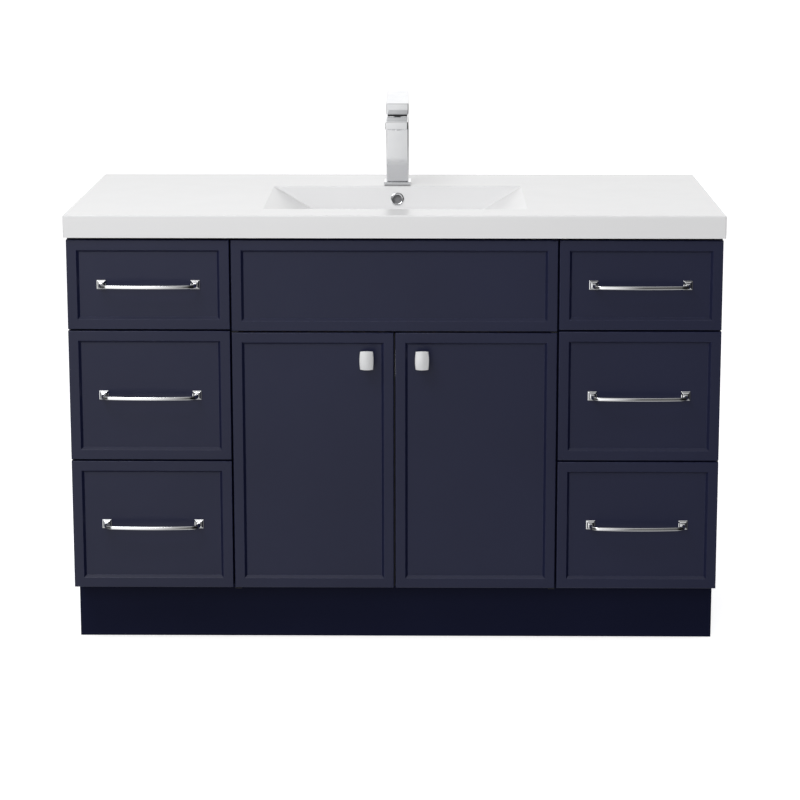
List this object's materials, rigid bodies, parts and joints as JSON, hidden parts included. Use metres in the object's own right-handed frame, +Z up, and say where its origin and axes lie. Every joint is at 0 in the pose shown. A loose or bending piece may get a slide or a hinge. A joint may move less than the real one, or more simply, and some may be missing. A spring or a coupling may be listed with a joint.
{
  "type": "bathroom vanity cabinet",
  "caption": "Freestanding bathroom vanity with shaker drawers and doors, a cast top with a ramped rectangular basin, and a square lever faucet.",
  "frame": {"origin": "on the floor, at the middle of the whole object's width and depth", "axes": "+X to the right when facing the fronts, +Y back towards the wall, +Z up; the fronts face -Y"},
  "size_m": [1.225, 0.579, 1.0182],
  "materials": {
    "cabinet_paint": "satin navy paint",
    "interior_board": "clear lacquer",
    "drawer_wood": "clear lacquer",
    "solid_surface": "polished cast acrylic",
    "polished_chrome": "polished",
    "satin_nickel": "satin",
    "zinc_steel": "zinc plated",
    "brass": "satin",
    "dark_plastic": "matte"
  },
  "bodies": {
    "cabinet": {"left_side_panel": "cabinet_paint", "right_side_panel": "cabinet_paint", "left_divider": "interior_board", "right_divider": "interior_board", "bottom_panel": "interior_board", "back_panel": "interior_board", "hanging_rail": "interior_board", "sink_front_rail": "interior_board", "toe_kick": "cabinet_paint", "false_front": "cabinet_paint", "cabinet_rails": "zinc_steel", "door_pivots": "zinc_steel", "countertop_sink": "solid_surface", "overflow_ring": "polished_chrome", "drain_flange": "polished_chrome", "drain_tailpiece": "polished_chrome", "faucet_base_plate": "polished_chrome", "faucet_body": "polished_chrome", "faucet_aerator": "dark_plastic", "faucet_cartridge": "dark_plastic", "faucet_fixing": "brass"},
    "left_top_drawer": {"left_top_drawer_front": "cabinet_paint", "left_top_drawer_box": "drawer_wood", "left_top_pull": "polished_chrome", "left_top_drawer_rails": "zinc_steel"},
    "left_top_middle_member": {"left_top_middle_rails": "zinc_steel"},
    "left_middle_drawer": {"left_middle_drawer_front": "cabinet_paint", "left_middle_drawer_box": "drawer_wood", "left_middle_pull": "polished_chrome", "left_middle_drawer_rails": "zinc_steel"},
    "left_middle_middle_member": {"left_middle_middle_rails": "zinc_steel"},
    "left_bottom_drawer": {"left_bottom_drawer_front": "cabinet_paint", "left_bottom_drawer_box": "drawer_wood", "left_bottom_pull": "polished_chrome", "left_bottom_drawer_rails": "zinc_steel"},
    "left_bottom_middle_member": {"left_bottom_middle_rails": "zinc_steel"},
    "right_top_drawer": {"right_top_drawer_front": "cabinet_paint", "right_top_drawer_box": "drawer_wood", "right_top_pull": "polished_chrome", "right_top_drawer_rails": "zinc_steel"},
    "right_top_middle_member": {"right_top_middle_rails": "zinc_steel"},
    "right_middle_drawer": {"right_middle_drawer_front": "cabinet_paint", "right_middle_drawer_box": "drawer_wood", "right_middle_pull": "polished_chrome", "right_middle_drawer_rails": "zinc_steel"},
    "right_middle_middle_member": {"right_middle_middle_rails": "zinc_steel"},
    "right_bottom_drawer": {"right_bottom_drawer_front": "cabinet_paint", "right_bottom_drawer_box": "drawer_wood", "right_bottom_pull": "polished_chrome", "right_bottom_drawer_rails": "zinc_steel"},
    "right_bottom_middle_member": {"right_bottom_middle_rails": "zinc_steel"},
    "left_door_leaf": {"left_door": "cabinet_paint", "left_knob": "satin_nickel", "left_door_bushes": "brass"},
    "right_door_leaf": {"right_door": "cabinet_paint", "right_knob": "satin_nickel", "right_door_bushes": "brass"},
    "lever_swivel": {"cartridge_spindle": "zinc_steel"},
    "lever": {"faucet_lever": "polished_chrome"},
    "stopper": {"drain_stopper": "polished_chrome"}
  },
  "joints": [
    {"name": "left_top_drawer_slide", "type": "slide", "parent": "cabinet", "child": "left_top_drawer", "axis": [0, -1, 0], "range_m": [0, 0.4]},
    {"name": "left_top_middle_slide", "type": "slide", "parent": "cabinet", "child": "left_top_middle_member", "axis": [0, -1, 0], "range_m": [0, 0.2]},
    {"name": "left_middle_drawer_slide", "type": "slide", "parent": "cabinet", "child": "left_middle_drawer", "axis": [0, -1, 0], "range_m": [0, 0.4]},
    {"name": "left_middle_middle_slide", "type": "slide", "parent": "cabinet", "child": "left_middle_middle_member", "axis": [0, -1, 0], "range_m": [0, 0.2]},
    {"name": "left_bottom_drawer_slide", "type": "slide", "parent": "cabinet", "child": "left_bottom_drawer", "axis": [0, -1, 0], "range_m": [0, 0.4]},
    {"name": "left_bottom_middle_slide", "type": "slide", "parent": "cabinet", "child": "left_bottom_middle_member", "axis": [0, -1, 0], "range_m": [0, 0.2]},
    {"name": "right_top_drawer_slide", "type": "slide", "parent": "cabinet", "child": "right_top_drawer", "axis": [0, -1, 0], "range_m": [0, 0.4]},
    {"name": "right_top_middle_slide", "type": "slide", "parent": "cabinet", "child": "right_top_middle_member", "axis": [0, -1, 0], "range_m": [0, 0.2]},
    {"name": "right_middle_drawer_slide", "type": "slide", "parent": "cabinet", "child": "right_middle_drawer", "axis": [0, -1, 0], "range_m": [0, 0.4]},
    {"name": "right_middle_middle_slide", "type": "slide", "parent": "cabinet", "child": "right_middle_middle_member", "axis": [0, -1, 0], "range_m": [0, 0.2]},
    {"name": "right_bottom_drawer_slide", "type": "slide", "parent": "cabinet", "child": "right_bottom_drawer", "axis": [0, -1, 0], "range_m": [0, 0.4]},
    {"name": "right_bottom_middle_slide", "type": "slide", "parent": "cabinet", "child": "right_bottom_middle_member", "axis": [0, -1, 0], "range_m": [0, 0.2]},
    {"name": "left_door_hinge", "type": "hinge", "parent": "cabinet", "child": "left_door_leaf", "pos_m": [-0.2982, -0.2565, 0.365], "axis": [0, 0, 1], "range_deg": [-105, 0]},
    {"name": "right_door_hinge", "type": "hinge", "parent": "cabinet", "child": "right_door_leaf", "pos_m": [0.2982, -0.2565, 0.365], "axis": [0, 0, -1], "range_deg": [-105, 0]},
    {"name": "lever_turn", "type": "hinge", "parent": "cabinet", "child": "lever_swivel", "pos_m": [0, 0.1525, 0.98], "axis": [0, 0, 1], "range_deg": [-45, 45]},
    {"name": "lever_lift", "type": "hinge", "parent": "lever_swivel", "child": "lever", "pos_m": [0, 0.1525, 0.982], "axis": [-1, 0, 0], "range_deg": [0, 18]},
    {"name": "stopper_rise", "type": "slide", "parent": "cabinet", "child": "stopper", "axis": [0, 0, 1], "range_m": [0, 0.008]}
  ],
  "couplings": [
    {"joint": "left_top_middle_slide", "follows": "left_top_drawer_slide", "ratio": 0.5},
    {"joint": "left_middle_middle_slide", "follows": "left_middle_drawer_slide", "ratio": 0.5},
    {"joint": "left_bottom_middle_slide", "follows": "left_bottom_drawer_slide", "ratio": 0.5},
    {"joint": "right_top_middle_slide", "follows": "right_top_drawer_slide", "ratio": 0.5},
    {"joint": "right_middle_middle_slide", "follows": "right_middle_drawer_slide", "ratio": 0.5},
    {"joint": "right_bottom_middle_slide", "follows": "right_bottom_drawer_slide", "ratio": 0.5}
  ]
}
